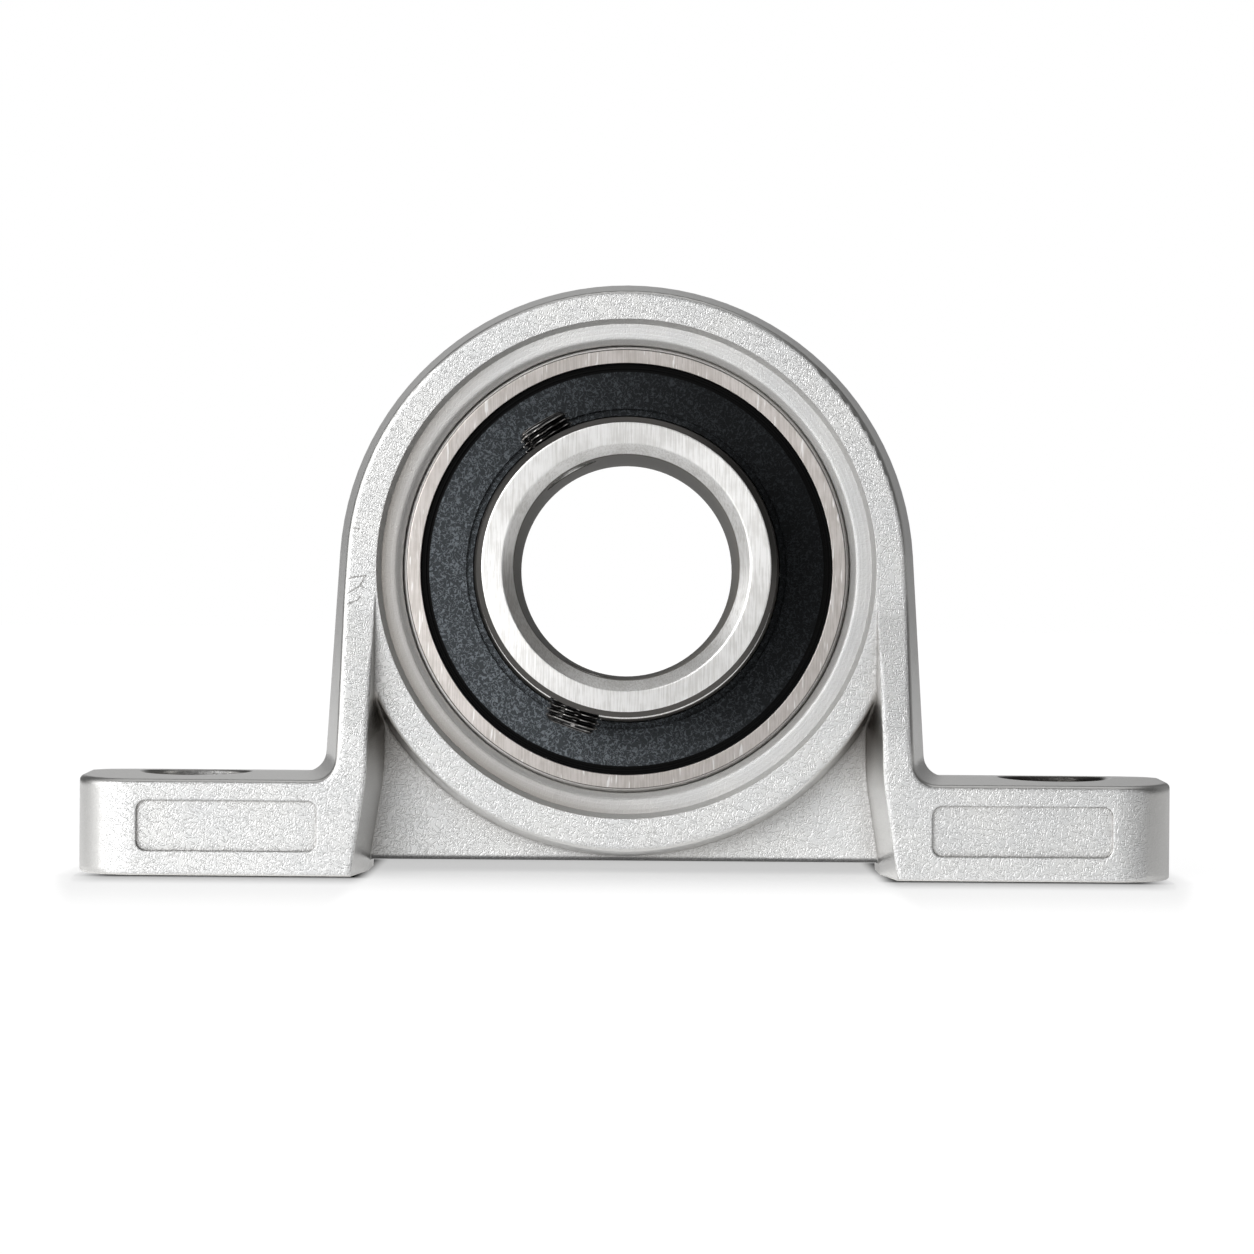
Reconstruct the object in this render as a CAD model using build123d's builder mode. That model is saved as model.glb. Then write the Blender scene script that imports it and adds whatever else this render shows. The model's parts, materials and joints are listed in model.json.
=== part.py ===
"""Pillow block bearing: a die-cast housing that carries a self-aligning insert bearing.

X runs along the base, Z is up, and the shaft lies along Y with the collar of the inner ring
towards -Y. The origin is on the base plane, midway between the two mounting bolts.
All lengths are in millimetres and all angles in degrees.
"""
from build123d import *
from math import acos, cos, degrees, radians, sin, sqrt, tan
import os

# ---------------------------------------------------------------- driving dimensions
# Mounting sizes
shaft_d = 20.0
centre_height = 28.0
base_width = 20.0
bolt_spacing = 80.0
bolt_hole_d = 10.0
foot_end = 10.0  # from a bolt's axis to the end of its foot

# Housing casting
foot_thickness = 9.0  # at the parting plane
foot_draft = 2.0
foot_corner_r = 5.5
relief_height = 1.1
relief_corner_r = 0.5
hole_chamfer = 0.3
countersink_angle = 90.0
arch_r = 26.8
arch_drop = 0.2  # the cast arch sits this much lower than the machined seat
boss_width = 14.0
outer_draft = 10.5
boss_edge_r = 0.5
sole_edge_r = 0.3
leg_flare = 3.5
leg_root_r = 2.0
lean_height = 12.5  # the front of a leg starts to lean here
lean_bend_r = 10.0
shoulder_height = 25.0  # and runs out into the boss face here
inner_leg_foot_x = 23.65
inner_leg_top_x = 22.25
inner_leg_bend_z = 9.0
inner_leg_bend_r = 20.0
pocket_draft = 8.2
web_thickness = 5.5

# Machined seat and its surroundings
recess_r = 22.8
recess_depth = 0.7
recess_slope = 0.4
mouth_r = 20.52  # a short straight wall leads in to the seat
mouth_chamfer = 0.5

# Label panels on the front of the feet
panel_length = 16.3
panel_height = 4.6
panel_depth = 0.3
panel_corner_r = 0.9
panel_x = 35.9
panel_z = 4.5

# Insert bearing
sphere_d = 42.0
insert_width = 12.0
inner_ring_width = 21.0
collar_d = 26.65
collar_chamfer = 0.5
bore_chamfer = 1.0
rear_bore_chamfer = 0.5
ring_chamfer = 0.3
outer_ring_chamfer = 0.1
outer_ring_edge_break = 0.05
inner_land_d = 28.0
outer_land_d = 34.8
ball_d = 6.35
ball_count = 9
pitch_d = 31.0
race_groove_r = 3.3

# Seals
seal_seat_d = 38.0
seal_mouth_d = 37.6
seal_recess = 0.5  # how far the seal's face lies behind the ring's face
seal_thickness = 1.0
seal_lip_width = 0.6
seal_lip_step = 0.3
seal_rim_width = 0.7
seal_rim_step = 0.45
seal_ridge_width = 0.2
seal_ridge_height = 0.25
core_thickness = 0.4
core_margin = 0.8
core_flange = 0.7

# Ribbon cage
cage_sheet = 0.7
cage_width = 2.2
rivet_d = 1.2
rivet_head_d = 1.9
rivet_head = 0.4

# Set screws
screw_angles = (121.0, 250.5)
screw_d = 5.0
screw_length = 5.0
screw_end_radius = 15.2  # distance of the outer end from the shaft's axis
screw_setback = 5.0  # from the collar's face to the screw's axis
screw_chamfer = 0.5
screw_socket = 2.5
screw_socket_depth = 2.4
screw_cup_d = 2.4
screw_cup_depth = 0.6

# Clearances
seat_clearance = 0.03
race_clearance = 0.02
pocket_clearance = 0.1
lip_clearance = 0.08
seal_clearance = 0.02
rivet_clearance = 0.02
screw_clearance = 0.05

# ---------------------------------------------------------------- shared frames
bore_axis = Axis((0, 0, centre_height), (0, 1, 0))
arch_centre_z = centre_height - arch_drop
arch_axis = Axis((0, 0, arch_centre_z), (0, 1, 0))

# Sketches on these planes read as (distance along the shaft, distance from its axis)
section = Plane((0, 0, centre_height), x_dir=(0, 1, 0), z_dir=(1, 0, 0))
front_section = Plane((0, 0, centre_height), x_dir=(0, -1, 0), z_dir=(-1, 0, 0))
arch_section = Plane((0, 0, arch_centre_z), x_dir=(0, 1, 0), z_dir=(1, 0, 0))

# The bearing's centre plane, seen from the collar's side and from the far side
front_side = Plane((0, 0, centre_height), x_dir=(1, 0, 0), z_dir=(0, -1, 0))
rear_side = Plane((0, 0, centre_height), x_dir=(-1, 0, 0), z_dir=(0, 1, 0))

pitch_r = pitch_d / 2
ball_r = ball_d / 2
first_ball = 90.0
ball_step = 360.0 / ball_count
first_rivet = first_ball + ball_step / 2
seen = 0.01  # tolerance for picking edges by their place
overshoot = 5.0  # how far a cutting solid passes beyond what it cuts


# ---------------------------------------------------------------- derived sizes
sphere_r = sphere_d / 2
insert_half = insert_width / 2
insert_rim_angle = degrees(acos(insert_half / sphere_r))
seat_r = sphere_r + seat_clearance
base_length = bolt_spacing + 2 * foot_end
boss_half = boss_width / 2
recess_y = boss_half - recess_depth
seat_edge_y = sqrt(seat_r**2 - mouth_r**2)

bore_r = shaft_d / 2
collar_r = collar_d / 2
collar_y = insert_half - inner_ring_width
inner_land_r = inner_land_d / 2
outer_land_r = outer_land_d / 2
race_r = ball_r + race_clearance  # from the pitch circle to the bottom of either groove

seal_seat_r = seal_seat_d / 2
seal_mouth_r = seal_mouth_d / 2
seal_face_y = insert_half - seal_recess
seal_back_y = seal_face_y - seal_thickness
seal_snap_y = seal_face_y - seal_rim_step + seal_clearance
lip_r = inner_land_r + lip_clearance
core_inner_r = lip_r + core_margin
core_outer_r = seal_mouth_r - seal_rim_width - core_margin / 2


def screw_plane(angle):
    """Plane through the shaft's axis, facing out along a set screw."""
    out = (cos(radians(angle)), 0, sin(radians(angle)))
    return Plane((0, collar_y + screw_setback, centre_height), x_dir=(0, 1, 0), z_dir=out)


# ---------------------------------------------------------------- housing
side_x = arch_r * cos(radians(leg_flare))
side_z = arch_centre_z + arch_r * sin(radians(leg_flare))
side_foot_x = side_x + (side_z + overshoot) * tan(radians(leg_flare))
leg_middle_x = (inner_leg_foot_x + side_x) / 2
foot_edge_z = foot_thickness - base_width / 2 * tan(radians(foot_draft))


def runs_across(edge):
    """True for an edge that runs mainly from front to back."""
    direction = edge % 0.5
    return abs(direction.Y) > abs(direction.X) + abs(direction.Z)


def is_root_edge(edge):
    """True for the corners between the legs and the tops of the feet."""
    at_top = foot_edge_z - seen < edge.center().Z < foot_thickness + seen
    return at_top and runs_across(edge) and abs(edge.center().X) < bolt_spacing / 2


def is_rim_edge(edge):
    """True for the outer edges of the front and the back, and for the feet's top edges."""
    middle = edge.center()
    high = middle.Z > foot_edge_z - seen and abs(middle.Y) > seen
    outside = abs(middle.X) > leg_middle_x or middle.Z > centre_height + sphere_r
    past_bolt = abs(middle.X) > bolt_spacing / 2
    return high and outside and (past_bolt or not runs_across(edge))


def is_sole_edge(edge):
    """True for the feet's outer edges underneath, apart from the bolt holes."""
    low = abs(edge.center().Z) < seen
    outside = abs(edge.center().X) > leg_middle_x
    bolt_hole = edge.geom_type == GeomType.CIRCLE and abs(edge.radius - bolt_hole_d / 2) < seen
    return low and outside and not bolt_hole


with BuildPart() as pocket:
    # One side's opening between the legs, widening towards the viewer
    with BuildSketch(Plane.XZ.offset(web_thickness / 2)):
        with BuildLine():
            flare = (inner_leg_foot_x - inner_leg_top_x) / inner_leg_bend_z
            inner_wall = Polyline(
                (0, -overshoot),
                (inner_leg_foot_x + flare * overshoot, -overshoot),
                (inner_leg_top_x, inner_leg_bend_z),
                (inner_leg_top_x, arch_centre_z),
                (0, arch_centre_z),
            )
            mirror(inner_wall, about=Plane.YZ)
        make_face()
        knees = vertices().filter_by(lambda v: abs(v.Y - inner_leg_bend_z) < seen)
        fillet(knees, inner_leg_bend_r)
    extrude(amount=base_width / 2, taper=-pocket_draft)
    # It leaves the round boss standing
    with BuildSketch(arch_section):
        with BuildLine():
            boss_face_r = arch_r - boss_half * tan(radians(outer_draft))
            Polyline(
                (0, 0),
                (-boss_half, 0),
                (-boss_half, boss_face_r),
                (0, arch_r),
                close=True,
            )
        make_face()
        face_edge = vertices().group_by(Axis.X)[0].sort_by(Axis.Y)[-1]
        fillet(face_edge, boss_edge_r)
    revolve(axis=arch_axis, mode=Mode.SUBTRACT)
    mirror(about=Plane.XZ)

with BuildPart() as housing:
    # Feet, whose tops fall away to the front and the back from the parting plane
    with BuildSketch(Plane.XY):
        RectangleRounded(base_length, base_width, foot_corner_r)
    extrude(amount=foot_thickness)
    with BuildSketch(Plane.YZ):
        with BuildLine():
            Polyline(
                (0, foot_thickness),
                (base_width / 2, foot_edge_z),
                (base_width / 2, foot_thickness),
                close=True,
            )
        make_face()
        mirror(about=Plane.YZ)
    extrude(amount=base_length, both=True, mode=Mode.SUBTRACT)
    # Arch and legs, drafted both ways from the parting plane
    with BuildSketch(Plane.XZ):
        with BuildLine():
            Line((0, -overshoot), (side_foot_x, -overshoot))
            Line((side_foot_x, -overshoot), (side_x, side_z))
            RadiusArc((side_x, side_z), (0, arch_centre_z + arch_r), -arch_r)
            mirror(about=Plane.YZ)
        make_face()
    extrude(amount=base_width / 2, both=True, taper=outer_draft)
    split(bisect_by=Plane.XY)
    fillet(edges().filter_by(is_root_edge), leg_root_r)
    # Above the feet both faces lean in to the width of the boss
    with BuildSketch(Plane.YZ):
        with BuildLine():
            top = arch_centre_z + arch_r + overshoot
            Polyline(
                (base_width / 2, foot_edge_z),
                (base_width / 2, lean_height),
                (boss_width / 2, shoulder_height),
                (boss_width / 2, top),
                (base_width / 2 + overshoot, top),
                (base_width / 2 + overshoot, foot_edge_z),
                close=True,
            )
        make_face()
        bends = vertices().filter_by(lambda v: lean_height - seen < v.Y < shoulder_height + seen)
        fillet(bends, lean_bend_r)
        mirror(about=Plane.YZ)
    extrude(amount=base_length, both=True, mode=Mode.SUBTRACT)
    add(pocket.part, mode=Mode.SUBTRACT)
    # Rounded casting edges along the rim that runs over the arch, the legs and the feet
    fillet(edges().filter_by(is_rim_edge), boss_edge_r)
    # Relief under the web, so that only the feet bear
    with BuildSketch(Plane.XZ):
        Rectangle(2 * inner_leg_foot_x, 2 * relief_height)
        fillet(vertices().sort_by(Axis.Y)[2:], relief_corner_r)
    extrude(amount=base_width, both=True, mode=Mode.SUBTRACT)
    # Machined spherical seat, its chamfered mouths and the stepped recess round each
    with BuildSketch(section):
        with BuildLine():
            Polyline(
                (boss_half + overshoot, 0),
                (boss_half + overshoot, recess_r),
                (boss_half, recess_r),
                (recess_y, recess_r - recess_slope),
                (recess_y, mouth_r + mouth_chamfer),
                (recess_y - mouth_chamfer, mouth_r),
                (seat_edge_y, mouth_r),
                (seat_edge_y, 0),
                close=True,
            )
        make_face()
        mirror(about=Plane.YZ)
        Circle(seat_r)
        with Locations((0, -seat_r)):
            Rectangle(4 * seat_r, 2 * seat_r, mode=Mode.SUBTRACT)
    revolve(axis=bore_axis, mode=Mode.SUBTRACT)
    # Bolt holes
    with Locations((-bolt_spacing / 2, 0, foot_thickness), (bolt_spacing / 2, 0, foot_thickness)):
        CounterSinkHole(
            bolt_hole_d / 2, bolt_hole_d / 2 + hole_chamfer, counter_sink_angle=countersink_angle
        )
    # Shallow label panels, left bare
    with BuildSketch(Plane.XZ.offset(base_width / 2)):
        with Locations((-panel_x, panel_z), (panel_x, panel_z)):
            RectangleRounded(panel_length, panel_height, panel_corner_r)
    extrude(amount=-panel_depth, mode=Mode.SUBTRACT)
    # The feet's edges underneath
    fillet(edges().filter_by(is_sole_edge), sole_edge_r)
housing.part.label = "housing"


# ---------------------------------------------------------------- bearing rings
with BuildPart() as outer_ring:
    with BuildSketch(section):
        with BuildLine():
            crown = CenterArc((0, 0), sphere_r, insert_rim_angle, 90 - insert_rim_angle)
            Polyline(
                (0, sphere_r),
                (0, outer_land_r),
                (seal_back_y, outer_land_r),
                (seal_back_y, seal_seat_r),
                (seal_snap_y, seal_seat_r),
                (seal_snap_y, seal_mouth_r),
                (insert_half, seal_mouth_r),
                crown @ 0,
            )
        make_face()
        face_edges = vertices().group_by(Axis.X)[-1].sort_by(Axis.Y)
        chamfer(face_edges[0], outer_ring_edge_break)
        chamfer(face_edges[1], outer_ring_chamfer)
        mirror(about=Plane.YZ)
        with Locations((0, pitch_r + race_r - race_groove_r)):
            Circle(race_groove_r, mode=Mode.SUBTRACT)
    revolve(axis=bore_axis)
outer_ring.part.label = "outer_ring"

with BuildPart() as inner_ring:
    with BuildSketch(section):
        with BuildLine():
            Polyline(
                (insert_half, bore_r),
                (insert_half, inner_land_r),
                (-insert_half, inner_land_r),
                (-insert_half, collar_r),
                (collar_y, collar_r),
                (collar_y, bore_r),
                close=True,
            )
        make_face()
        corners = vertices().sort_by(Axis.X)
        chamfer(corners[:2].sort_by(Axis.Y)[0], bore_chamfer)
        chamfer(vertices().sort_by(Axis.X)[:3].sort_by(Axis.Y)[-1], collar_chamfer)
        chamfer(vertices().group_by(Axis.Y)[-1], ring_chamfer)
        chamfer(vertices().group_by(Axis.X)[-1].sort_by(Axis.Y)[0], rear_bore_chamfer)
        with Locations((0, pitch_r - race_r + race_groove_r)):
            Circle(race_groove_r, mode=Mode.SUBTRACT)
    revolve(axis=bore_axis)
    # Tapped holes for the set screws, through the collar's wall
    for angle in screw_angles:
        with BuildSketch(screw_plane(angle)):
            Circle(screw_d / 2 + screw_clearance)
        extrude(amount=collar_r + overshoot, mode=Mode.SUBTRACT)
inner_ring.part.label = "inner_ring"


# ---------------------------------------------------------------- set screws
def make_set_screw(angle):
    """Grub screw with a hexagon socket outside and a cup point towards the shaft."""
    outer_end = screw_plane(angle).offset(screw_end_radius)
    point = screw_plane(angle).offset(screw_end_radius - screw_length)
    with BuildPart() as screw:
        with BuildSketch(point):
            Circle(screw_d / 2)
        extrude(amount=screw_length)
        chamfer(edges().filter_by(GeomType.CIRCLE), screw_chamfer)
        with BuildSketch(outer_end):
            RegularPolygon(screw_socket / 2, 6, major_radius=False)
        extrude(amount=-screw_socket_depth, mode=Mode.SUBTRACT)
        with BuildSketch(point):
            Circle(screw_cup_d / 2)
        extrude(amount=screw_cup_depth, taper=45, mode=Mode.SUBTRACT)
    return screw.part


set_screws = [make_set_screw(angle) for angle in screw_angles]
for number, screw in enumerate(set_screws, start=1):
    screw.label = f"set_screw_{number}"

# ---------------------------------------------------------------- balls
balls = []
for number in range(ball_count):
    bearing_angle = radians(first_ball + number * ball_step)
    ball_centre = (pitch_r * cos(bearing_angle), 0, centre_height + pitch_r * sin(bearing_angle))
    with BuildPart(Plane(ball_centre)) as ball:
        Sphere(ball_r)
    ball.part.label = f"ball_{number + 1}"
    balls.append(ball.part)


# ---------------------------------------------------------------- cage
def annulus(outer_r, inner_r):
    """Flat ring in the sketch that is open."""
    Circle(outer_r)
    Circle(inner_r, mode=Mode.SUBTRACT)


def make_cage_half(side):
    """Pressed half of a ribbon cage: flats between the balls, round pockets over them."""
    pocket_r = ball_r + pocket_clearance
    cage_outer_r = pitch_r + cage_width / 2
    cage_inner_r = pitch_r - cage_width / 2
    with BuildPart(side) as half:
        with PolarLocations(pitch_r, ball_count, first_ball):
            Sphere(pocket_r + cage_sheet)
        split(bisect_by=side)
        with BuildSketch(side):
            annulus(cage_outer_r, cage_inner_r)
        extrude(amount=cage_sheet)
        # Trimmed to the width of the strip, inside and outside
        with BuildSketch(side):
            annulus(cage_outer_r + ball_d, cage_outer_r)
            Circle(cage_inner_r)
        extrude(amount=pocket_r + overshoot, mode=Mode.SUBTRACT)
        with PolarLocations(pitch_r, ball_count, first_ball):
            Sphere(pocket_r, mode=Mode.SUBTRACT)
        with PolarLocations(pitch_r, ball_count, first_rivet):
            Hole(rivet_d / 2 + rivet_clearance)
    return half.part


cage_front = make_cage_half(front_side)
cage_front.label = "cage_front"
cage_rear = make_cage_half(rear_side)
cage_rear.label = "cage_rear"

with BuildPart(front_side) as cage_rivets:
    with PolarLocations(pitch_r, ball_count, first_rivet):
        Cylinder(rivet_d / 2, 2 * cage_sheet)
        head_z = cage_sheet + rivet_head / 2
        with Locations((0, 0, head_z), (0, 0, -head_z)):
            Cylinder(rivet_head_d / 2, rivet_head)
cage_rivets.part.label = "cage_rivets"


# ---------------------------------------------------------------- seals
def core_profile():
    """Outline of the steel washer and the flange that stiffens its outer edge."""
    return [
        (seal_back_y, core_inner_r),
        (seal_back_y + core_thickness, core_inner_r),
        (seal_back_y + core_thickness, core_outer_r - core_thickness),
        (seal_back_y + core_flange, core_outer_r - core_thickness),
        (seal_back_y + core_flange, core_outer_r),
        (seal_back_y, core_outer_r),
    ]


def make_seal_core(half_section):
    """Stiffening washer, flush with the back of the rubber."""
    with BuildPart() as core:
        with BuildSketch(half_section):
            Polygon(*core_profile(), align=None)
        revolve(axis=bore_axis)
    return core.part


def make_seal_rubber(half_section):
    """Moulded rubber: a thin lip on the inner ring, a flat face, a ridged rim in the outer ring."""
    lip_face_y = seal_face_y - seal_lip_step
    rim_face_y = seal_face_y - seal_rim_step
    ridge_y = rim_face_y + seal_ridge_height
    rim_inner_r = seal_mouth_r - seal_rim_width
    ridge_r = (rim_inner_r + seal_mouth_r) / 2
    rubber_outer_r = seal_seat_r - seal_clearance
    with BuildPart() as rubber:
        with BuildSketch(half_section):
            Polygon(
                (seal_back_y, lip_r),
                (lip_face_y, lip_r),
                (lip_face_y, lip_r + seal_lip_width),
                (seal_face_y, lip_r + seal_lip_width),
                (seal_face_y, rim_inner_r),
                (rim_face_y, rim_inner_r),
                (rim_face_y, ridge_r - seal_ridge_width / 2),
                (ridge_y, ridge_r - seal_ridge_width / 2),
                (ridge_y, ridge_r + seal_ridge_width / 2),
                (rim_face_y, ridge_r + seal_ridge_width / 2),
                (rim_face_y, rubber_outer_r),
                (seal_back_y, rubber_outer_r),
                align=None,
            )
            Polygon(*core_profile(), align=None, mode=Mode.SUBTRACT)
        revolve(axis=bore_axis)
    return rubber.part


seals = {
    "front_seal_rubber": make_seal_rubber(front_section),
    "front_seal_core": make_seal_core(front_section),
    "rear_seal_rubber": make_seal_rubber(section),
    "rear_seal_core": make_seal_core(section),
}
for name, seal in seals.items():
    seal.label = name

# ---------------------------------------------------------------- export
pieces = [housing.part, outer_ring.part, inner_ring.part, cage_front, cage_rear, cage_rivets.part]
pieces += [*balls, *set_screws, *seals.values()]
os.makedirs("parts", exist_ok=True)
for piece in pieces:
    export_step(piece, f"parts/{piece.label}.step")
    print(f"{piece.label}: {len(piece.solids())} solid(s), {piece.volume:.1f} mm3")
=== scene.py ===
# %% [markdown]
# # A pillow block bearing
# The housing is a light zinc die casting. An insert bearing swivels in its round seat: two ground
# steel rings, nine balls in a ribbon cage, a rubber seal on each side, and two black grub screws that
# lock the inner ring to a shaft. The solids come ready made, in metres, each in its own place. This
# lesson gives each one its finish, cuts the screws' threads, and lights the part in a small studio.

# %% Load the bearing's solids
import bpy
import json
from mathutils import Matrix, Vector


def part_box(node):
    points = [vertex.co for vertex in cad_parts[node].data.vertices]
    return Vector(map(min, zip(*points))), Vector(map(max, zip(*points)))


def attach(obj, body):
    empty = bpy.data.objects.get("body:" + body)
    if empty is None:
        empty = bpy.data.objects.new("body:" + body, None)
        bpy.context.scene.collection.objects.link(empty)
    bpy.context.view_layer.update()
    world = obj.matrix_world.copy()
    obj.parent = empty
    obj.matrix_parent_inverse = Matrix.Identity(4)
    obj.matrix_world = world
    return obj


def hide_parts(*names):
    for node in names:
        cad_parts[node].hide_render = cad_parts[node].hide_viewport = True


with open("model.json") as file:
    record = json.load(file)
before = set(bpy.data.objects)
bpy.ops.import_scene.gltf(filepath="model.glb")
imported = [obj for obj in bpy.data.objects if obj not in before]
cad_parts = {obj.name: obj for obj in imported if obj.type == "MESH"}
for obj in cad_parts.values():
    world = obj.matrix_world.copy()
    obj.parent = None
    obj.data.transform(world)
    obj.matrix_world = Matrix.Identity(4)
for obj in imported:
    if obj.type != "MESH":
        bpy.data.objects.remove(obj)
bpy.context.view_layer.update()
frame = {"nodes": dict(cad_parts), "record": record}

print("Nodes:", ", ".join(sorted(frame["nodes"])))

# %% [markdown]
# Everything round on this part turns about the shaft's axis, and its finishes change at certain radii
# from that axis. Each radius could be typed in where it is used. Worked out once from the frame's boxes
# and mounts, they stay right when the bearing is made in another size.

# %% Find the shaft's axis and the main sizes
from math import cos, pi, radians, sin, sqrt, tau

import bpy
from mathutils import Vector

mm = 0.001

ring_low, ring_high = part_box("outer_ring")
shaft_centre = (ring_low + ring_high) / 2
ring_size = (ring_high - ring_low) / mm
ring_face_radius = round(sqrt((ring_size.x / 2) ** 2 - (ring_size.y / 2) ** 2), 2)

inner_low, inner_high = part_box("inner_ring")
inner_ring_radius = round((inner_high.x - inner_low.x) / 2 / mm, 1)

block_low, block_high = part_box("housing")
half_length = round((block_high.x - block_low.x) / 2 / mm, 1)
half_depth = round((block_high.y - block_low.y) / 2 / mm, 1)

mounts = {mount["name"]: mount["dims"] for mount in frame["record"]["mounts"]}
bore_radius = mounts["shaft_bore"]["r_mm"]
bolt_x = mounts["mounting_bolts"]["spacing_x_mm"] / 2
bolt_hole_radius = mounts["mounting_bolts"]["hole_r_mm"]
print(f"Shaft axis {shaft_centre.z / mm:.2f} mm above the base")
print(f"Radii: bore {bore_radius}, inner ring {inner_ring_radius}, outer ring's face {ring_face_radius} mm")
print(f"Block {2 * half_length} mm long and {2 * half_depth} mm deep, bolts {bolt_x} mm either side")

# %% [markdown]
# A catalogue shows a bearing square on, so that its circles stay round. The camera stands level in
# front of the collar, with a long lens, a little lower than the shaft, and leans by half a degree. It
# could be told to follow a target, but typed in, its place is the same each time.

# %% Place the camera
camera_place = (0.00009, -0.2827, 0.0227)
lens_length = 86.9
sensor_width = 36.0
lean = radians(0.45)

camera_data = bpy.data.cameras.new("studio_camera")
camera_data.lens = lens_length
camera_data.sensor_width = sensor_width
camera = bpy.data.objects.new("studio_camera", camera_data)
camera.location = camera_place
camera.rotation_euler = (radians(90), -lean, 0)
bpy.context.scene.collection.objects.link(camera)
bpy.context.scene.camera = camera
print(f"Camera {-camera_place[1] / mm:.0f} mm in front of the part, lens {lens_length} mm")

# %% [markdown]
# A finish is a small network of shader nodes. It could be drawn by hand in the shader editor, but as
# code it can be read, measured and changed. `node` adds one node and fills its inputs with numbers or
# with other nodes' outputs. The functions below it are one arithmetic node each.

# %% Nodes and arithmetic


def node(tree, kind, inputs=None, **settings):
    """Adds a node, sets its options, and fills or links its inputs."""
    made = tree.nodes.new(kind)
    for name, value in settings.items():
        setattr(made, name, value)
    for socket, value in (inputs or {}).items():
        if isinstance(value, bpy.types.NodeSocket):
            tree.links.new(value, made.inputs[socket])
        else:
            made.inputs[socket].default_value = value
    return made


def maths(tree, operation, first, second=0.0, clamp=False):
    """One step with numbers. A clamped result stays between 0 and 1."""
    inputs = {0: first, 1: second}
    return node(tree, "ShaderNodeMath", inputs, operation=operation, use_clamp=clamp).outputs[0]


def plus(tree, first, second):
    """The sum of two values."""
    return maths(tree, "ADD", first, second)


def minus(tree, first, second):
    """The first value less the second."""
    return maths(tree, "SUBTRACT", first, second)


def times(tree, first, second, clamp=False):
    """The product of two values."""
    return maths(tree, "MULTIPLY", first, second, clamp)


def larger(tree, first, second):
    """The larger of two values."""
    return maths(tree, "MAXIMUM", first, second)


def vector_maths(tree, operation, first, second=(0, 0, 0), result="Vector"):
    """One step with points or directions, which gives a Vector, or a Value such as a length."""
    inputs = {0: first, 1: second}
    return node(tree, "ShaderNodeVectorMath", inputs, operation=operation).outputs[result]


def scaled(tree, vector, factor):
    """A point, direction or colour times a number."""
    inputs = {0: vector, "Scale": factor}
    return node(tree, "ShaderNodeVectorMath", inputs, operation="SCALE").outputs["Vector"]


print("Arithmetic: plus, minus, times, larger, vector_maths, scaled")

# %% [markdown]
# A surface seldom changes at a sharp line. `ramp` follows a value smoothly between two limits, `fade`
# is the same downhill, and `mix_colour` blends two colours by such a value. Colour ramp nodes would do
# both at once, but they hide their numbers in a list of stops.

# %% Ramps and blends


def ramp(tree, value, start, end, low=0.0, high=1.0):
    """Follows value from low at start to high at end, smoothly, and stays there."""
    inputs = {"Value": value, "From Min": start, "From Max": end, "To Min": low, "To Max": high}
    return node(tree, "ShaderNodeMapRange", inputs, interpolation_type="SMOOTHSTEP").outputs["Result"]


def fade(tree, value, start, end, full=1.0):
    """Full up to start, and down to nothing at end."""
    return ramp(tree, value, start, end, low=full, high=0.0)


def mix_colour(tree, factor, first, second):
    """Blends two colours: the first where the factor is 0, the second where it is 1."""
    made = node(tree, "ShaderNodeMix", data_type="RGBA")
    for socket, value in zip(("Factor_Float", "A_Color", "B_Color"), (factor, first, second)):
        target = next(s for s in made.inputs if s.identifier == socket)
        if isinstance(value, bpy.types.NodeSocket):
            tree.links.new(value, target)
        else:
            target.default_value = value
    return next(s for s in made.outputs if s.identifier == "Result_Color")


print("Blends: ramp, fade, mix_colour")

# %% [markdown]
# The patterns are noise in the part's own space, sized in millimetres. Picture textures would need an
# unwrapped mesh and blur up close, while noise stays sharp at any distance and has no seams. Squeezed
# along one direction, it makes scratches. Where it crosses its middle value, it makes curly strokes.

# %% Patterns in millimetres


def millimetres(tree):
    """The point on the part, in millimetres from the part's origin."""
    place = node(tree, "ShaderNodeTexCoord").outputs["Object"]
    return scaled(tree, place, 1 / mm)


def noise(tree, point, size, detail=2.0, roughness=0.5, distortion=0.0):
    """Cloudy noise with features about size millimetres across."""
    inputs = {
        "Vector": point,
        "Scale": 1 / size,
        "Detail": detail,
        "Roughness": roughness,
        "Distortion": distortion,
    }
    return node(tree, "ShaderNodeTexNoise", inputs).outputs["Fac"]


def strokes(tree, point, size, width):
    """1 along short curly strokes and 0 between them."""
    wander = noise(tree, point, size, detail=1.0, distortion=0.8)
    beside = maths(tree, "ABSOLUTE", minus(tree, wander, 0.5))
    return fade(tree, beside, 0.0, width)


def stretch(tree, point, angle, along, across):
    """Turns the front view by an angle and squeezes it, so that noise becomes scratches."""
    inputs = {"Vector": point, "Rotation": (0, angle, 0), "Scale": (1 / across, 1 / across, 1 / along)}
    return node(tree, "ShaderNodeMapping", inputs).outputs["Vector"]


print("Patterns: noise, strokes, stretch")

# %% [markdown]
# A finish also asks where a point lies: how far from the shaft, on which side of it, and whether its
# face looks along the shaft. Faces could be sorted into groups by hand instead, but these questions
# have the same answer on any mesh of the same part.

# %% Where a point lies


def from_shaft(tree, point):
    """The point measured from the shaft's axis, in millimetres, flat in the front view."""
    offset = vector_maths(tree, "SUBTRACT", point, tuple(shaft_centre / mm))
    return vector_maths(tree, "MULTIPLY", offset, (1, 0, 1))


def radius_from_shaft(tree, point):
    """Distance of the point from the shaft's axis, in millimetres."""
    return vector_maths(tree, "LENGTH", from_shaft(tree, point), result="Value")


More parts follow.
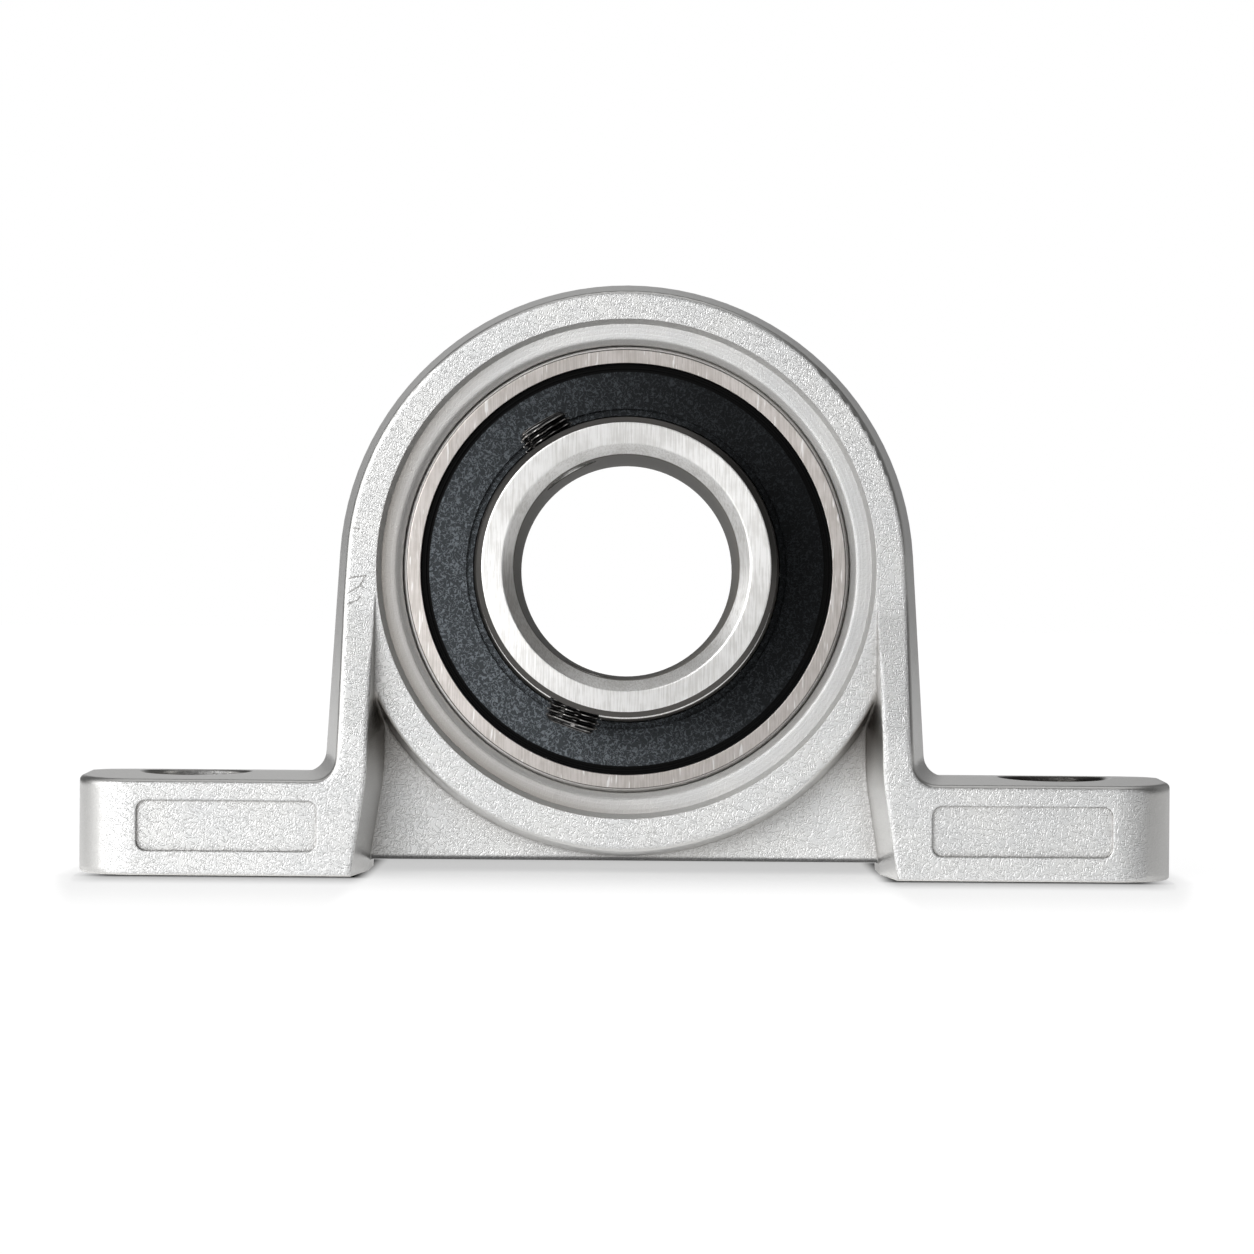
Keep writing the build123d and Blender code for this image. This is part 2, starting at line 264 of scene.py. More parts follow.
def toward(tree, point, direction):
    """How far the point lies from the shaft's axis in a direction of the front view, in millimetres."""
    aim = (direction[0], 0, direction[1])
    return vector_maths(tree, "DOT_PRODUCT", from_shaft(tree, point), aim, result="Value")


def near_upright_axis(tree, point, x, reach):
    """1 inside an upright cylinder that stands on the middle line at x, 0 outside it."""
    offset = vector_maths(tree, "SUBTRACT", point, (x, 0, 0))
    flat = vector_maths(tree, "MULTIPLY", offset, (1, 1, 0))
    away = vector_maths(tree, "LENGTH", flat, result="Value")
    return fade(tree, away, reach, reach + 0.05)


def facing_front(tree):
    """1 on faces across the shaft, 0 on walls along it."""
    normal = node(tree, "ShaderNodeTexCoord").outputs["Normal"]
    along_shaft = node(tree, "ShaderNodeSeparateXYZ", {0: normal}).outputs["Y"]
    return maths(tree, "ABSOLUTE", along_shaft)


print("Places: from_shaft, radius_from_shaft, toward, near_upright_axis, facing_front")

# %% [markdown]
# The solids have true but sharp edges and smooth faces. Real edges are always a little round, and
# catch the light. Both edges and grain could be cut into the meshes, at the cost of millions of faces.
# Here the light only meets tilted normals, which looks the same at this size.

# %% Relief, soft edges and crevices


def bump(tree, height, depth, normal=None):
    """Dents of the given depth, in millimetres, for a height that runs from 0 to 1."""
    inputs = {"Height": height, "Distance": depth * mm}
    if normal is not None:
        inputs["Normal"] = normal
    return node(tree, "ShaderNodeBump", inputs).outputs["Normal"]


def soft_edges(tree, radius):
    """Normals that round every corner off by a radius in millimetres."""
    metres = times(tree, radius, mm)
    return node(tree, "ShaderNodeBevel", {"Radius": metres}, samples=8).outputs["Normal"]


def openness(tree, reach, low=0.2, high=0.9):
    """0 deep in a corner and 1 in the open, judged within a reach in millimetres."""
    inputs = {"Distance": reach * mm}
    seen = node(tree, "ShaderNodeAmbientOcclusion", inputs, samples=6, only_local=True)
    return ramp(tree, seen.outputs["AO"], low, high)


print("Relief: bump, soft_edges, openness")

# %% [markdown]
# Every finish starts as one shader. What is the same all over is set as a number on the shader itself,
# and only what changes from place to place is linked to it.

# %% Start and end a finish


def new_finish(name, **sockets):
    """A material with its shader, and the tree that they live in."""
    material = bpy.data.materials.new(name)
    material.use_nodes = True
    tree = material.node_tree
    shader = tree.nodes["Principled BSDF"]
    for socket, value in sockets.items():
        shader.inputs[socket.replace("_", " ")].default_value = value
    return material, tree, shader


def plug(tree, shader, **sockets):
    """Links outputs to the shader's inputs."""
    for socket, output in sockets.items():
        tree.links.new(output, shader.inputs[socket.replace("_", " ")])


def show(material):
    """Prints how large a finish has become."""
    print(f"{material.name}: {len(material.node_tree.nodes)} nodes")


print("Finishes: new_finish, plug, show")

# %% [markdown]
# The housing is die cast in zinc. Its front and back keep the skin that chilled against the die, and
# the walls that slide along the die are drawn smooth. The recess round the bearing is turned after
# casting. `casting_zones` tells these apart, so that each step of the finish knows where it is.

# %% Zones of the casting
from types import SimpleNamespace

mouth_radius = 21.0  # the seat's chamfered mouth
recess_radius = 22.8  # the floor of the turned recess
recess_rim = 23.2  # and the top of its sloping wall
leg_inside = 23.6  # from the middle of the block to the inner side of a leg
leg_outside = 27.0
foot_end = half_length - 4.0  # the rounded end of a foot starts here


def casting_zones(tree):
    """What the finish of the casting depends on, at each point."""
    zone = SimpleNamespace(point=millimetres(tree))
    place = node(tree, "ShaderNodeSeparateXYZ", {0: zone.point})
    zone.from_middle = maths(tree, "ABSOLUTE", place.outputs["X"])
    zone.depth = place.outputs["Y"]
    zone.height = place.outputs["Z"]
    zone.radius = radius_from_shaft(tree, zone.point)
    zone.facing = facing_front(tree)
    zone.front = ramp(tree, zone.facing, 0.80, 0.96)  # from 37 to 16 degrees off square
    zone.wall = fade(tree, zone.front, 0.0, 1.0)
    recess = fade(tree, zone.radius, recess_radius - 0.1, recess_radius + 0.1)
    zone.recess_floor = times(tree, zone.front, recess)
    turned = fade(tree, zone.radius, recess_rim, recess_rim + 0.2)
    zone.turned_wall = times(tree, turned, zone.wall)
    zone.patches = noise(tree, zone.point, 5.0, detail=3.0, roughness=0.6)
    return zone


print(f"Recess from {mouth_radius} to {recess_rim} mm, legs from {leg_inside} to {leg_outside} mm")

# %% [markdown]
# Where two faces of a casting meet, the die is never quite sharp, and tumbling rubs the edge further.
# One radius for all edges would be simpler, but on this part the turned recess is nearly sharp, the
# boss's lower rim and the feet's ends are broad, and that difference shows in their highlights.

# %% Edges of the casting
turned_edge = 0.08
cast_edge = 0.28
mouth_extra = 0.45
lower_rim_extra = 0.4
foot_end_extra = 0.5
rim_top = 22.0  # the broad lower rim of the boss ends at this height, and starts to fade 5 mm below
foot_top = 9.0


def casting_edges(tree, zone):
    """Radius of the edges, in millimetres."""
    outside = recess_radius + 0.05
    edge = ramp(tree, zone.radius, outside, outside + 0.1, low=turned_edge, high=cast_edge)
    mouth = fade(tree, zone.radius, mouth_radius + 0.3, mouth_radius + 0.6, full=mouth_extra)
    edge = plus(tree, edge, mouth)
    beyond_recess = ramp(tree, zone.radius, recess_rim + 0.4, recess_rim + 1.0)
    between_legs = fade(tree, zone.from_middle, leg_outside - 0.4, leg_outside + 0.4)
    lower_half = fade(tree, zone.height, rim_top - 5.0, rim_top)
    lower_rim = times(tree, lower_half, times(tree, beyond_recess, between_legs))
    edge = plus(tree, edge, times(tree, lower_rim, lower_rim_extra))
    above_foot = ramp(tree, zone.height, foot_top + 0.5, foot_top + 1.2)
    leg_root = times(tree, ramp(tree, zone.from_middle, leg_outside, leg_outside + 2.0), above_foot)
    broad = larger(tree, leg_root, ramp(tree, zone.from_middle, foot_end, foot_end + 1.0))
    return plus(tree, edge, times(tree, broad, foot_end_extra))


print(f"Edges from {turned_edge} mm in the recess to {cast_edge + foot_end_extra:.2f} mm at the feet")

# %% [markdown]
# The chilled skin is covered in fine, short wrinkles. Each reads as a bright crest with a dark hollow
# beside it, so the same strokes are drawn twice, shifted by less than a tenth of a millimetre, and one set
# is taken from the other. The result raises the bump, and also paints a highlight on each crest and shade
# in each hollow. A picture of cast metal could be tiled instead, but would repeat.

# %% Wrinkled skin of the casting
wrinkle_size = 0.42
wrinkle_width = 0.07
wrinkle_shift = (0.08, 0, -0.08)


def wrinkles(tree, zone):
    """From -1 in a hollow to 1 on a crest, faint on the walls and in the recess."""
    crests = strokes(tree, zone.point, wrinkle_size, wrinkle_width)
    beside = vector_maths(tree, "ADD", zone.point, wrinkle_shift)
    hollows = strokes(tree, beside, wrinkle_size, wrinkle_width)
    as_cast = minus(tree, zone.front, times(tree, zone.recess_floor, 0.7))
    crumpled = times(tree, as_cast, ramp(tree, zone.patches, 0.35, 0.65, low=0.8))
    strength = ramp(tree, crumpled, 0.0, 1.0, low=0.15)
    return times(tree, minus(tree, crests, hollows), strength)


print(f"Wrinkles {wrinkle_size} mm apart and {wrinkle_shift[0]} mm from crest to hollow")

# %% [markdown]
# Zinc is a light, faintly warm grey, in soft patches. The crests are painted white, a painted highlight,
# and the hollows beside them dark grey, a painted shade, as if the skin were always lit from one side.
# Painting these by hand would give the same picture once, from one side.

# %% Colour of zinc, with painted highlights and shade
grey_zinc = (0.78, 0.785, 0.785, 1)
light_zinc = (0.84, 0.84, 0.83, 1)
drawn_zinc = (0.72, 0.715, 0.70, 1)
crest_highlight = (1.0, 1.0, 1.0, 1)
hollow_shade = (0.30, 0.29, 0.28, 1)


def zinc_colour_with_painted_light(tree, zone, grain_and_painted_light):
    """The zinc's colour, with painted highlights on the crests and painted shade in the hollows."""
    colour = mix_colour(tree, ramp(tree, zone.patches, 0.35, 0.7), grey_zinc, light_zinc)
    colour = mix_colour(tree, zone.front, drawn_zinc, colour)
    # Painted highlight on the crests, then painted shade in the hollows.
    colour = mix_colour(tree, times(tree, grain_and_painted_light, 0.95, clamp=True), colour, crest_highlight)
    return mix_colour(tree, times(tree, grain_and_painted_light, -0.42, clamp=True), colour, hollow_shade)


print("Zinc from", drawn_zinc[:3], "to", light_zinc[:3])

# %% [markdown]
# The recess keeps faint rings from the lathe. The rest is painted shade: a painted shadow of the recess's
# wall on its lower left, and painted shade in the corners, in the bolt holes and along the bottom of the
# web. Each is a dark colour blended in by a measure of the place.

# %% Lathe rings and painted shade on the casting
turning_marks = (0.36, 0.34, 0.32, 1)
step_shadow_colour = (0.27, 0.245, 0.22, 1)
corner_shade = (0.30, 0.285, 0.27, 1)
hole_shade = (0.10, 0.095, 0.09, 1)
web_shade = (0.10, 0.10, 0.10, 1)
shadowed_side = (-0.92, -0.38)


def recess_rings_and_shadow(tree, zone, colour):
    """Adds the lathe's rings, and a painted shadow of the recess's wall on its lower left, to the floor of
    the recess.
    """
    rings = ramp(tree, noise(tree, zone.radius, 0.22), 0.35, 0.65, high=0.2)
    colour = mix_colour(tree, times(tree, rings, zone.recess_floor), colour, turning_marks)
    # Painted shadow of the recess's wall: darker towards the wall and on the lower left.
    toward_step = ramp(tree, zone.radius, mouth_radius + 0.2, recess_radius - 0.2, low=0.5, high=0.9)
    shadowed_share = ramp(tree, toward(tree, zone.point, shadowed_side), -6.0, 20.0)
    step_shadow = times(tree, times(tree, toward_step, shadowed_share), zone.recess_floor)
    return mix_colour(tree, step_shadow, colour, step_shadow_colour)


def corner_hole_and_web_shade(tree, zone, colour):
    """Adds painted shade in the corners, in the bolt holes and under the web."""
    # Painted shade where a corner hides the point.
    in_recess = fade(tree, zone.radius, recess_rim + 0.1, recess_rim + 0.4, full=0.85)
    unshaded = larger(tree, openness(tree, 4.0, high=0.93), in_recess)
    colour = mix_colour(tree, unshaded, corner_shade, colour)
    reach = bolt_hole_radius + 0.3
    left_hole = times(tree, near_upright_axis(tree, zone.point, -bolt_x, reach), 0.6)
    bolt_holes = plus(tree, left_hole, near_upright_axis(tree, zone.point, bolt_x, reach))
    bolt_holes = times(tree, bolt_holes, ramp(tree, zone.facing, 0.1, 0.3))
    colour = mix_colour(tree, bolt_holes, colour, hole_shade)
    low_edge = fade(tree, zone.height, 1.3, 1.6, full=0.9)
    between_legs = fade(tree, zone.from_middle, leg_inside - 0.3, leg_inside - 0.1)
    return mix_colour(tree, times(tree, low_edge, between_legs), colour, web_shade)


print("Stains: turning marks, oil, dust, shade")

# %% [markdown]
# A few short scratches on the left of the arch come from one knock in the workshop. Noise can't be
# told to scratch one place, so each scratch is a straight line between two places of the front view,
# and a point is the darker the nearer it lies to one of the lines.

# %% Scratches on the arch
scratches = [
    ((-25.40, 26.87), (-24.78, 27.06)),
    ((-24.78, 27.06), (-23.75, 27.19)),
    ((-23.75, 27.19), (-24.23, 26.39)),
    ((-25.40, 25.57), (-24.23, 26.30)),
    ((-24.23, 26.39), (-23.96, 26.12)),
    ((-25.49, 24.57), (-24.50, 24.94)),
    ((-24.50, 24.94), (-24.23, 25.30)),
    ((-25.10, 31.55), (-24.40, 31.45)),
    ((-25.65, 20.10), (-25.50, 19.70)),
]
scratch_width = 0.14
scratch_colour = (0.20, 0.19, 0.18, 1)


def scratch(tree, point, start, end, width):
    """1 along a straight line between two places of the front view, fading to its sides."""
    start, end = Vector((start[0], 0, start[1])), Vector((end[0], 0, end[1]))
    along = end - start
    flat = vector_maths(tree, "MULTIPLY", point, (1, 0, 1))
    offset = vector_maths(tree, "SUBTRACT", flat, start)
    share = vector_maths(tree, "DOT_PRODUCT", offset, along / along.length_squared, result="Value")
    share = maths(tree, "ADD", share, 0.0, clamp=True)
    nearest = scaled(tree, along, share)
    gap = vector_maths(tree, "DISTANCE", offset, nearest, result="Value")
    return fade(tree, gap, 0.0, width)


def scratch_front(tree, zone, colour):
    """Adds the scratches to the front of the casting."""
    scratched = 0.0
    for start, end in scratches:
        scratched = larger(tree, scratch(tree, zone.point, start, end, scratch_width), scratched)
    on_front = times(tree, zone.front, fade(tree, zone.depth, -1.0, 1.0, full=0.7))
    return mix_colour(tree, times(tree, scratched, on_front), colour, scratch_colour)


print(f"{len(scratches)} scratches, {scratch_width} mm wide")

# %% [markdown]
# Now the steps come together. The walls are bare metal and fairly smooth, the chilled front is a
# little duller and rougher, and the turned wall of the recess is the dullest, since the lathe left it
# grooved across the light.

# %% Cast zinc


def cast_zinc():
    """The housing's finish."""
    material, tree, shader = new_finish("cast_zinc")
    zone = casting_zones(tree)
    grain_and_painted_light = wrinkles(tree, zone)
    swell = noise(tree, zone.point, 1.6)
    normal = bump(tree, plus(tree, grain_and_painted_light, swell), 0.012, soft_edges(tree, casting_edges(tree, zone)))
    colour = zinc_colour_with_painted_light(tree, zone, grain_and_painted_light)
    colour = recess_rings_and_shadow(tree, zone, colour)
    colour = corner_hole_and_web_shade(tree, zone, colour)
    colour = scratch_front(tree, zone, colour)
    metal = ramp(tree, zone.front, 0.0, 1.0, low=1.0, high=0.8)
    metal = minus(tree, metal, times(tree, zone.turned_wall, 0.5))
    roughness = ramp(tree, zone.front, 0.0, 1.0, low=0.30, high=0.48)
    roughness = larger(tree, roughness, times(tree, zone.turned_wall, 0.55))
    plug(tree, shader, Base_Color=colour, Metallic=metal, Roughness=roughness, Normal=normal)
    return material


zinc = cast_zinc()
show(zinc)

# %% [markdown]
# The rings' faces are ground flat, which leaves fine, nearly parallel scratches across them, a few of
# them deeper and brighter. Two stretched noises draw them. The highlight itself is stretched too, by
# the shader's anisotropy, because thousands of scratches finer than any texture lie round the ring.

# %% Ground faces of the rings
grinding_angle = radians(-14)
gash_angle = radians(-16)
bright_gash = (0.95, 0.94, 0.93, 1)


def ground_face(tree, point, tone, worn_tone):
    """Colour and height of a ground face."""
    fine = noise(tree, stretch(tree, point, grinding_angle, 3.0, 0.14), 1.0, roughness=0.6)
    deep = noise(tree, stretch(tree, point, gash_angle, 2.2, 0.22), 1.0, detail=1.0)
    patches = noise(tree, point, 1.8, detail=3.0, roughness=0.6)
    worn = plus(tree, times(tree, fine, 0.6), times(tree, patches, 0.4))
    colour = mix_colour(tree, ramp(tree, worn, 0.38, 0.60), tone, worn_tone)
    gashes = ramp(tree, deep, 0.64, 0.72)
    colour = mix_colour(tree, times(tree, gashes, 0.7), colour, bright_gash)
    return colour, plus(tree, fine, gashes)


print("Ground faces: fine scratches 3.0 by 0.14 mm, gashes 2.2 by 0.22 mm")

# %% [markdown]
# Off their faces the rings look different. The bore is painted a dark brown-grey, and the collar's outer
# edge is painted dark, a painted shade. The outer ring's round side goes down into the housing, where dull
# light zinc lies all round it, so there it is painted as a dull pale band with a broad soft edge, a painted
# reflection of that zinc.

# %% Ground steel
dark_bore = (0.13, 0.12, 0.105, 1)
collar_edge_shade = (0.10, 0.095, 0.09, 1)
gap_reflection = (0.80, 0.78, 0.76, 1)
gap_start = ring_face_radius - 0.04
gap_full = ring_face_radius + 0.02
mid_face = (bore_radius + inner_ring_radius) / 2  # halfway across the collar's face


def ground_steel(name, tone, worn_tone, edge):
    """A ring's finish, with the radius of its face's edges in millimetres."""
    material, tree, shader = new_finish(name, Anisotropic=0.45, Anisotropic_Rotation=0.10)
    point = millimetres(tree)
    colour, height = ground_face(tree, point, tone, worn_tone)
    radius = radius_from_shaft(tree, point)
    slanted = fade(tree, facing_front(tree), 0.75, 0.95)
    # Painted shade on the collar's outer edge and round side.
    shaded_edge = times(tree, slanted, ramp(tree, radius, mid_face, mid_face + 0.4))
    colour = mix_colour(tree, shaded_edge, colour, collar_edge_shade)
    # The bore is painted dark brown-grey.
    in_bore = fade(tree, radius, bore_radius + 0.02, bore_radius + 0.1)
    colour = mix_colour(tree, in_bore, colour, dark_bore)
    # Painted reflection: the round side in the gap is painted pale, like the zinc it faces.
    in_gap = ramp(tree, radius, gap_start, gap_full)
    colour = mix_colour(tree, in_gap, colour, gap_reflection)
    metal = minus(tree, 1.0, larger(tree, in_bore, in_gap))
    roughness = plus(tree, times(tree, in_bore, 0.3), 0.32)
    soft = ramp(tree, radius, gap_start, gap_full, low=edge, high=1.8)
    normal = bump(tree, height, 0.002, soft_edges(tree, soft))
    around = node(tree, "ShaderNodeTangent", direction_type="RADIAL", axis="Y").outputs["Tangent"]
    plug(tree, shader, Base_Color=colour, Metallic=metal, Roughness=roughness)
    plug(tree, shader, Normal=normal, Tangent=around)
    return material


beige_steel = ground_steel("outer_ring_steel", (0.51, 0.475, 0.445, 1), (0.64, 0.60, 0.575, 1), 0.12)
white_steel = ground_steel("inner_ring_steel", (0.76, 0.75, 0.73, 1), (0.95, 0.945, 0.935, 1), 0.25)
show(beige_steel)
show(white_steel)

# %% [markdown]
# The seals are moulded rubber with a crinkled face, painted lighter grey on their lower left as painted
# light. Their rim and lip touched polished steel in the mould, so they are smooth, black and shine. The
# crinkle uses the same strokes as the casting, since displaced faces this fine would be far too many, and
# its strokes are painted lighter as painted highlights.

# %% Black rubber
seal_face_radius = 18.0
crinkle_size = 0.38
crinkle_width = 0.09
lit_side = (-0.87, -0.50)
plain_rubber = (0.003, 0.0035, 0.004, 1)
lit_rubber = (0.105, 0.117, 0.128, 1)
rim_rubber = (0.002, 0.002, 0.002, 1)


def black_rubber():
    """The seals' finish."""
    material, tree, shader = new_finish("black_rubber", Specular_IOR_Level=0.08)
    point = millimetres(tree)
    on_face = fade(tree, radius_from_shaft(tree, point), seal_face_radius, seal_face_radius + 0.1)
    crinkle_and_highlights = strokes(tree, point, crinkle_size, crinkle_width)
    normal = bump(tree, times(tree, crinkle_and_highlights, on_face), 0.03, soft_edges(tree, 0.06))
    # Painted light: lighter towards the lower left, and lighter along the crinkle's strokes as painted
    # highlights.
    painted_light = ramp(tree, toward(tree, point, lit_side), -18.0, 20.0, low=0.08)
    painted_lit_grey = mix_colour(tree, painted_light, plain_rubber, lit_rubber)
    painted_lit_grey = scaled(tree, painted_lit_grey, ramp(tree, crinkle_and_highlights, 0.0, 1.0, low=0.62, high=2.15))
    colour = mix_colour(tree, on_face, rim_rubber, painted_lit_grey)
    roughness = ramp(tree, on_face, 0.0, 1.0, low=0.22, high=0.5)
    plug(tree, shader, Base_Color=colour, Roughness=roughness, Normal=normal)
    return material


rubber = black_rubber()
show(rubber)

# %% [markdown]
# The grub screws are steel with a black oxide skin, rubbed bright on the thread's crests. The mesh
# knows its own crests, since Geometry's Pointiness is high where a surface bends outwards, so nothing
# has to be painted.

# %% Black oxide
oxide_skin = (0.012, 0.012, 0.012, 1)
thin_skin = (0.05, 0.05, 0.05, 1)
rubbed_crest = (0.48, 0.47, 0.46, 1)


def black_oxide():
    """The grub screws' finish."""
    material, tree, shader = new_finish("black_oxide", Metallic=1.0)
    rubbed = noise(tree, millimetres(tree), 0.5, detail=3.0)
    skin = mix_colour(tree, ramp(tree, rubbed, 0.5, 0.75), oxide_skin, thin_skin)
    crest = ramp(tree, node(tree, "ShaderNodeNewGeometry").outputs["Pointiness"], 0.51, 0.56)
    colour = mix_colour(tree, crest, skin, rubbed_crest)
    roughness = ramp(tree, crest, 0.0, 1.0, low=0.35, high=0.16)
    plug(tree, shader, Base_Color=colour, Roughness=roughness)
    return material


oxide = black_oxide()
show(oxide)

# %% [markdown]
# Inside, the balls are lapped nearly to a mirror, with a light haze. The cage and the seals' washers
# are pressed from rolled sheet, whose fine lines come from the rollers.

# %% Polished and pressed steel


def polished_steel():
    """The balls' finish."""
    material, tree, shader = new_finish("polished_steel", Metallic=1.0)
    haze = noise(tree, millimetres(tree), 1.2, detail=3.0)
    colour = mix_colour(tree, haze, (0.70, 0.70, 0.71, 1), (0.78, 0.78, 0.78, 1))
    roughness = ramp(tree, haze, 0.3, 0.7, low=0.04, high=0.1)
    plug(tree, shader, Base_Color=colour, Roughness=roughness)
    return material


def pressed_steel():
    """The cage's and the washers' finish."""
    material, tree, shader = new_finish("pressed_steel", Metallic=1.0)
    rolled = noise(tree, stretch(tree, millimetres(tree), 0.0, 3.0, 0.3), 1.0, detail=3.0)
    colour = mix_colour(tree, rolled, (0.45, 0.44, 0.43, 1), (0.60, 0.59, 0.57, 1))
    roughness = ramp(tree, rolled, 0.3, 0.7, low=0.25, high=0.42)
    plug(tree, shader, Base_Color=colour, Roughness=roughness, Normal=bump(tree, rolled, 0.006))
    return material


lapped = polished_steel()
sheet = pressed_steel()
show(lapped)
show(sheet)

# %% [markdown]
# Each solid now gets its finish. A table says which, and the nine balls, which it doesn't name, are
# lapped. Only the finish changes: the meshes and their places stay as they came.

# %% Dress every node in its finish
finishes = {
    "housing": zinc,
    "outer_ring": beige_steel,
    "inner_ring": white_steel,
    "front_seal_rubber": rubber,
    "rear_seal_rubber": rubber,
    "front_seal_core": sheet,
    "rear_seal_core": sheet,
    "cage_front": sheet,
    "cage_rear": sheet,
    "cage_rivets": sheet,
    "set_screw_1": oxide,
    "set_screw_2": oxide,
}
for name, part in frame["nodes"].items():
    part.data.materials.clear()
    part.data.materials.append(finishes.get(name, lapped))
    print(f"{name}: {part.data.materials[0].name}")

# %% [markdown]
# The solids' grub screws have smooth sides. Each is made again with a real thread, M5 with a fine
# pitch, and with the same cup point, which bites into the shaft, and hexagon socket. A profile could be
# swept along a helix and cut from a cylinder, but a stack of rings is cleaner: its radius rises and
# falls with the height and with the angle, and that makes the helix.

# %% Profile of a grub screw
screw_radius = 2.5
screw_length = 5.0
end_radius = 2.0
thread_pitch = 0.5
thread_depth = 0.3
flank_slope = 1.35
crest_flat = 0.1
socket_width = 2.5
socket_depth = 2.4
drill_point = 0.5
cup_rim = 1.2
cup_floor = 0.7
cup_depth = 0.5
centre_radius = 0.02
rows_per_turn = 10


def thread_radius(height, angle):
    """Radius of the threaded screw, in millimetres, with a chamfer at either end."""
    turn = (height / thread_pitch - angle / tau) % 1.0
    flank = min(1.0, max(0.0, flank_slope * abs(2 * turn - 1) - crest_flat))
    nearest_end = min(height, screw_length - height)
    return min(screw_radius - thread_depth * flank, end_radius + nearest_end)


def hexagon_radius(angle):
    """Distance from the centre to the side of the hexagon socket, in millimetres."""
    return socket_width / 2 / cos((angle + pi / 6) % (pi / 3) - pi / 6)


def screw_rings():
    """Heights and radius rules from the cup point to the socket's bottom."""
    rings = [
        (cup_depth + 0.05, lambda angle: centre_radius),
        (cup_depth, lambda angle: cup_floor),
        (0.0, lambda angle: cup_rim),
    ]
    rows = int(screw_length / thread_pitch * rows_per_turn)
    for row in range(rows + 1):
        height = screw_length * row / rows
        rings.append((height, lambda angle, height=height: thread_radius(height, angle)))
    socket_bottom = screw_length - socket_depth
    rings += [(screw_length, hexagon_radius), (socket_bottom, hexagon_radius)]
    rings.append((socket_bottom - drill_point, lambda angle: centre_radius))
    return rings


print(f"M{2 * screw_radius:.0f} thread, pitch {thread_pitch} mm, {len(screw_rings())} rings")

# %% [markdown]
# The rings are placed along the line from the shaft's axis through the solid screw, and joined by
# quads. Edges steeper than 50 degrees stay sharp, so that the thread's flanks and the socket read
# crisply while the crests look round. Each screw rides on its own body and stands for its solid.

# %% Cut the grub screws' threads
screw_sides = 96
sharp_angle = radians(50)


def screw_points(name, rings):
    """Points of the rings, in the place of the solid screw, with the cup towards the shaft."""
    low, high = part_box(name)
    centre = (low + high) / 2
    outward = centre - shaft_centre
    outward.y = 0.0
    outward.normalize()
    around = Vector((0, 1, 0))
    across = outward.cross(around)
    points = []
    for height, radius_at in rings:
        middle = centre + outward * (height - screw_length / 2) * mm
        for step in range(screw_sides):
            angle = tau * step / screw_sides
            spoke = around * cos(angle) + across * sin(angle)
            points.append(middle + spoke * radius_at(angle) * mm)
    return points


def ring_faces(rings):
    """Quads between the rings, and a cap on either end."""
    faces = []
    for ring in range(len(rings) - 1):
        start = ring * screw_sides
        for step in range(screw_sides):
            after = (step + 1) % screw_sides
            above = start + screw_sides
            faces.append((start + step, start + after, above + after, above + step))
    first_of_last = (len(rings) - 1) * screw_sides
    faces.append(tuple(reversed(range(screw_sides))))
    faces.append(tuple(range(first_of_last, first_of_last + screw_sides)))
    return faces


def make_grub_screw(name):
    """Threaded mesh that replaces the solid screw."""
    rings = screw_rings()
    mesh = bpy.data.meshes.new(f"grub_{name}")
    mesh.from_pydata(screw_points(name, rings), [], ring_faces(rings))
    mesh.shade_smooth()
    mesh.set_sharp_from_angle(angle=sharp_angle)
    mesh.validate()
    mesh.materials.append(oxide)
    screw = bpy.data.objects.new(f"grub_{name}", mesh)
    bpy.context.scene.collection.objects.link(screw)
    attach(screw, name)
    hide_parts(name)
    return screw


for name in ("set_screw_1", "set_screw_2"):
    screw = make_grub_screw(name)
    print(f"{screw.name}: {len(screw.data.polygons)} faces")

# %% [markdown]
# The part stands on a wide white floor, one square that reaches far past the view. A curved backdrop
# would hide the horizon, but with a white floor in front of a white wall there is none to hide. It lies
# a hair below the base, so that the two never flicker through each other.

# %% Lay the floor
floor_half = 20.0
floor_drop = 0.02

floor_mesh = bpy.data.meshes.new("floor")
floor_corners = [(x * floor_half, y * floor_half, 0) for x, y in ((-1, -1), (1, -1), (1, 1), (-1, 1))]
floor_mesh.from_pydata(floor_corners, [], [(0, 1, 2, 3)])
floor = bpy.data.objects.new("floor", floor_mesh)
floor.location.z = -floor_drop * mm
bpy.context.scene.collection.objects.link(floor)
print(f"Floor {2 * floor_half:.0f} m wide")

# %% [markdown]
# In a white studio, light that bounces under a part nearly fills its shadow. A thin dark line stays
# where the feet touch the floor, with a faint shade round it. The camera will see this floor mostly by
# a glow of its own, which no shadow can darken, so the glow itself has to dim there. The shade is
# measured from the block's outline: long to the front and back, short to the sides, and soft behind.

# %% Shade round the feet
ahead_share = 0.08
crisp_side = 1.2
soft_side = 0.2


def beyond(tree, value, half):
    """How far a coordinate lies outside a half width, in millimetres."""
    outside = minus(tree, maths(tree, "ABSOLUTE", value), half)
    return larger(tree, outside, 0.0)


